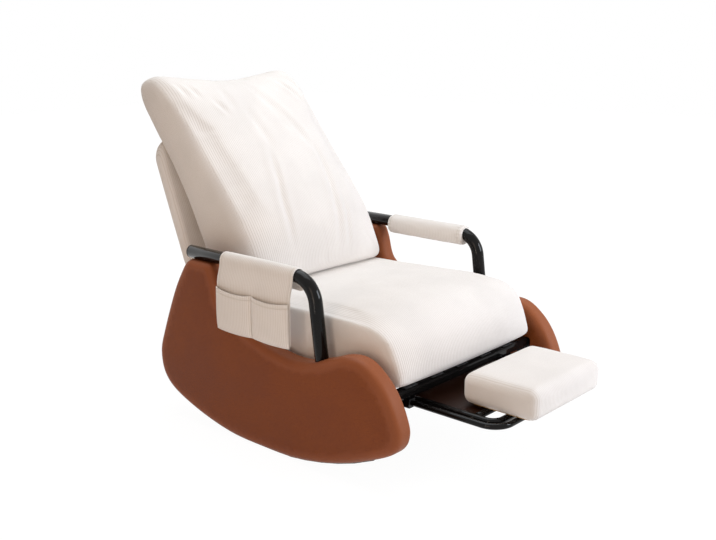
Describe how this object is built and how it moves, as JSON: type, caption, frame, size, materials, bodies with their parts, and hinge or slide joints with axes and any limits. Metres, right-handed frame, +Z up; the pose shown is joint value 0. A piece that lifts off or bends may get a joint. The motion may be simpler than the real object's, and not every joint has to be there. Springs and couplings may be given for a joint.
{
  "type": "rocking recliner chair",
  "caption": "Rocking recliner chair with padded rocker sides, tube arms, a loose back cushion on a reclining panel, an armrest cover with pockets and a pull-out foot pad.",
  "frame": {"origin": "on the floor, in the chair's mid-plane, half-way between the front of the foot pad and the rear of the back cushion", "axes": "+Z up; -Y is the way the sitter faces, so the footrest is at -Y; -X is the sitter's right, the side with the pockets"},
  "size_m": [0.7536, 1.2989, 0.9385],
  "materials": {
    "leatherette": "satin",
    "cream_corduroy": "matte",
    "black_steel": "gloss",
    "black_plastic": "matte",
    "black_rubber": "matte",
    "plywood": "matte",
    "black_webbing": "matte"
  },
  "bodies": {
    "chair": {"right_rocker_core": "plywood", "left_rocker_core": "plywood", "right_rocker_cover": "leatherette", "left_rocker_cover": "leatherette", "right_rocker_strip": "black_rubber", "left_rocker_strip": "black_rubber", "right_arm_tube": "black_steel", "left_arm_tube": "black_steel", "right_arm_plug": "black_plastic", "left_arm_plug": "black_plastic", "left_arm_sleeve": "cream_corduroy", "armrest_cover": "cream_corduroy", "front_pouch": "cream_corduroy", "rear_pouch": "cream_corduroy", "front_rail": "black_steel", "rear_rail": "black_steel", "right_front_flange": "black_steel", "left_front_flange": "black_steel", "right_rear_flange": "black_steel", "left_rear_flange": "black_steel", "right_front_bolt": "black_steel", "left_front_bolt": "black_steel", "right_rear_bolt": "black_steel", "left_rear_bolt": "black_steel", "right_slide_guide": "black_steel", "left_slide_guide": "black_steel", "right_guide_bush": "black_plastic", "left_guide_bush": "black_plastic", "seat_strap_1": "black_webbing", "seat_strap_2": "black_webbing", "seat_strap_3": "black_webbing", "seat_strap_4": "black_webbing", "seat_strap_5": "black_webbing", "seat_cushion": "cream_corduroy", "right_hinge_bracket": "black_steel", "left_hinge_bracket": "black_steel", "right_hinge_pin": "black_steel", "left_hinge_pin": "black_steel"},
    "backrest": {"backrest_frame": "black_steel", "backrest_panel": "cream_corduroy", "back_cushion": "cream_corduroy", "right_hinge_arm": "black_steel", "left_hinge_arm": "black_steel"},
    "footrest": {"footrest_frame": "black_steel", "footrest_crossbar": "black_steel", "footrest_loop": "black_steel", "right_loop_bridge": "black_steel", "left_loop_bridge": "black_steel", "footrest_apron": "leatherette", "footrest_board": "plywood", "footrest_pad": "cream_corduroy", "right_leg_plug": "black_plastic", "left_leg_plug": "black_plastic"}
  },
  "joints": [
    {"name": "recline", "type": "hinge", "parent": "chair", "child": "backrest", "pos_m": [0, 0.393, 0.285], "axis": [-1, 0, 0], "range_deg": [0, 35]},
    {"name": "footrest_slide", "type": "slide", "parent": "chair", "child": "footrest", "axis": [0, -1, 0], "range_m": [-0.04, 0.15]}
  ]
}
